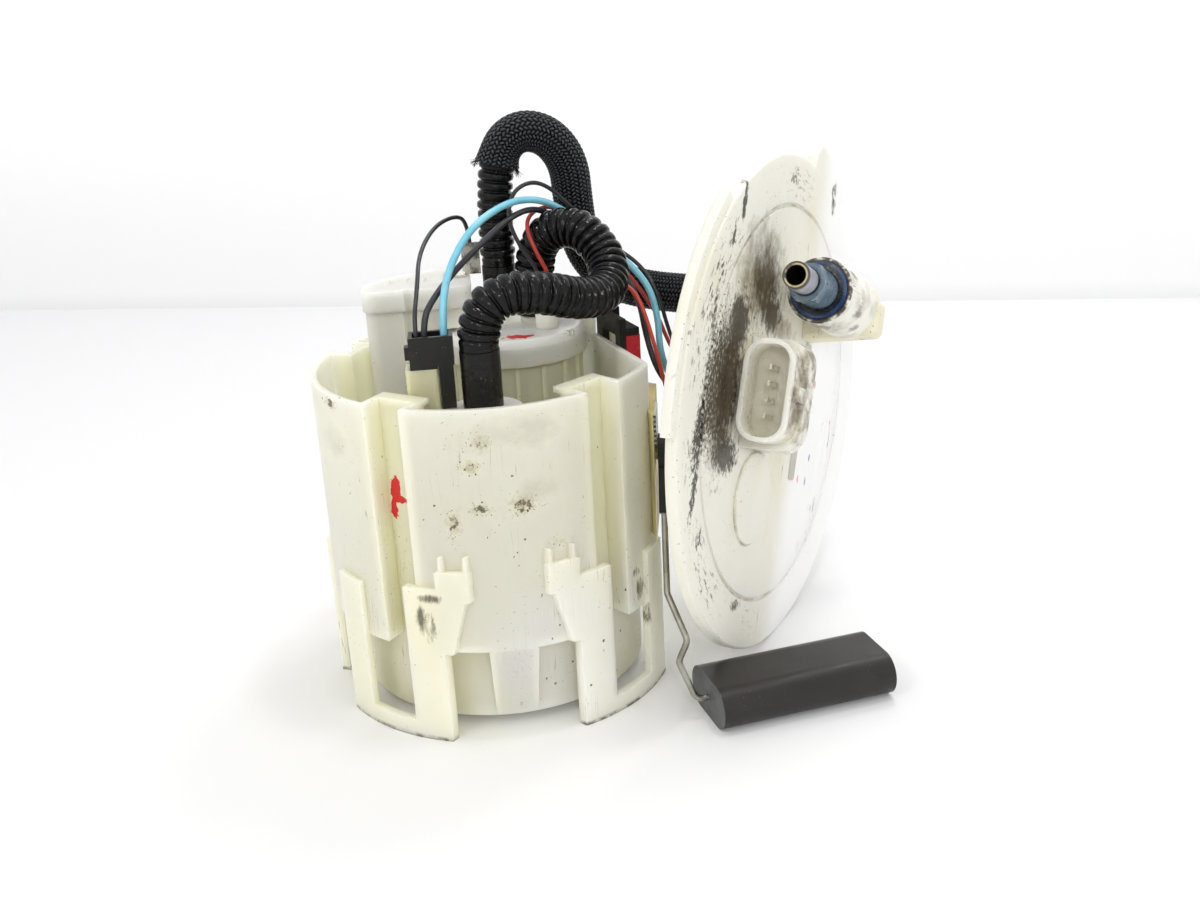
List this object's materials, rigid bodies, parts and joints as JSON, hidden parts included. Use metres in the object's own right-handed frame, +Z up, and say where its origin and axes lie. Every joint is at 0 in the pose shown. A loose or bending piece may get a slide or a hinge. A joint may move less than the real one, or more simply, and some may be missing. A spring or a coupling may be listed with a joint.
{
  "type": "fuel pump",
  "caption": "In-tank fuel delivery module: slotted swirl pot with electric pump, filter and level float, joined by hoses and wires to a round tank cover.",
  "frame": {"origin": "centre of the swirl pot's feet, where its clip frames stand on the tank's floor", "axes": "+Z up along the swirl pot's axis, +X from the pot towards the tank cover, -Y towards the pot's front"},
  "size_m": [0.2031, 0.1454, 0.185],
  "materials": {
    "pot_plastic": "milky moulded",
    "cover_plastic": "white moulded, scuffed",
    "clear_plastic": "translucent moulded",
    "black_plastic": "moulded",
    "amber_plastic": "moulded",
    "cream_plastic": "moulded",
    "red_plastic": "moulded",
    "blue_plastic": "moulded",
    "sleeve_plastic": "moulded",
    "hose_plastic": "corrugated",
    "cuff_rubber": "smooth",
    "seal_rubber": "smooth",
    "valve_rubber": "smooth",
    "braid": "woven sleeve",
    "foam": "closed-cell foam",
    "steel": "dull",
    "rotor_metal": "laminated",
    "magnet": "sintered",
    "carbon": "pressed",
    "contact_metal": "tinned",
    "ceramic": "printed track",
    "filter_paper": "pleated",
    "mesh": "fine mesh",
    "label": "bare strip",
    "blue_insulation": "wire",
    "black_insulation": "wire",
    "orange_insulation": "wire",
    "red_insulation": "wire"
  },
  "bodies": {
    "module": {"swirl_pot": "pot_plastic", "pump_holder": "pot_plastic", "pump_strainer": "mesh", "pump_case": "steel", "pump_inlet_plate": "black_plastic", "pump_middle_plate": "black_plastic", "pump_magnets": "magnet", "pump_outlet_cover": "black_plastic", "pump_brushes": "carbon", "pump_isolators": "seal_rubber", "pump_cap": "clear_plastic", "front_cuff": "cuff_rubber", "rear_cuff": "cuff_rubber", "feed_cuff": "cuff_rubber", "filter_housing": "cream_plastic", "filter_lid": "pot_plastic", "filter_element": "filter_paper", "regulator_tower": "pot_plastic", "regulator_can": "steel", "regulator_spring": "steel", "jet_pump": "black_plastic", "connector_tower": "pot_plastic", "pump_plug": "black_plastic", "ground_blade": "contact_metal", "sender_housing": "amber_plastic", "sender_card": "ceramic", "sender_bracket": "black_plastic", "sender_clip": "red_plastic", "sender_tab": "cream_plastic", "sender_rod": "steel", "tank_cover": "cover_plastic", "cover_seal": "seal_rubber", "under_cuff": "cuff_rubber", "under_plug": "black_plastic", "outlet_housing": "cover_plastic", "stub_tube": "cream_plastic", "retainer_ring": "blue_plastic", "outlet_seals": "seal_rubber", "electrical_socket": "cover_plastic", "socket_pins": "contact_metal", "label_strip": "label", "transfer_hose": "hose_plastic", "feed_hose": "hose_plastic", "braided_sleeve": "braid", "blue_wire": "blue_insulation", "black_wire": "black_insulation", "signal_wire": "black_insulation", "red_wire": "red_insulation", "orange_wire": "orange_insulation", "ground_wire": "black_insulation"},
    "arm": {"arm_holder": "black_plastic", "float_arm": "steel"},
    "float_block": {"float": "foam"},
    "rotor": {"pump_rotor": "rotor_metal", "pump_impeller": "black_plastic"},
    "outlet_valve": {"pump_check_valve": "black_plastic"},
    "floor_valve": {"inlet_valve": "valve_rubber"},
    "regulator_plate": {"regulator_valve": "steel"},
    "release": {"release_sleeve": "sleeve_plastic"}
  },
  "joints": [
    {"name": "float_arm_swing", "type": "hinge", "parent": "module", "child": "arm", "pos_m": [0.05533, -0.02194, 0.08], "axis": [-0.9848, 0.1736, 0], "range_deg": [0, 75]},
    {"name": "float_spin", "type": "hinge", "parent": "arm", "child": "float_block", "pos_m": [0.063, -0.0542, 0.007], "axis": [0.9781, 0.2079, 0], "continuous": true},
    {"name": "rotor_spin", "type": "hinge", "parent": "module", "child": "rotor", "pos_m": [0.0108, 0.0175, 0.05], "axis": [0, 0, 1], "continuous": true},
    {"name": "outlet_valve_lift", "type": "slide", "parent": "module", "child": "outlet_valve", "axis": [0, 0, 1], "range_m": [0, 0.0015]},
    {"name": "floor_valve_lift", "type": "slide", "parent": "module", "child": "floor_valve", "axis": [0, 0, 1], "range_m": [0, 0.0014]},
    {"name": "regulator_lift", "type": "slide", "parent": "module", "child": "regulator_plate", "axis": [0, 0, 1], "range_m": [0, 0.001], "deforming": ["regulator_spring"]},
    {"name": "release_press", "type": "slide", "parent": "module", "child": "release", "axis": [0.4975, 0.7662, -0.4067], "range_m": [0, 0.002]}
  ]
}
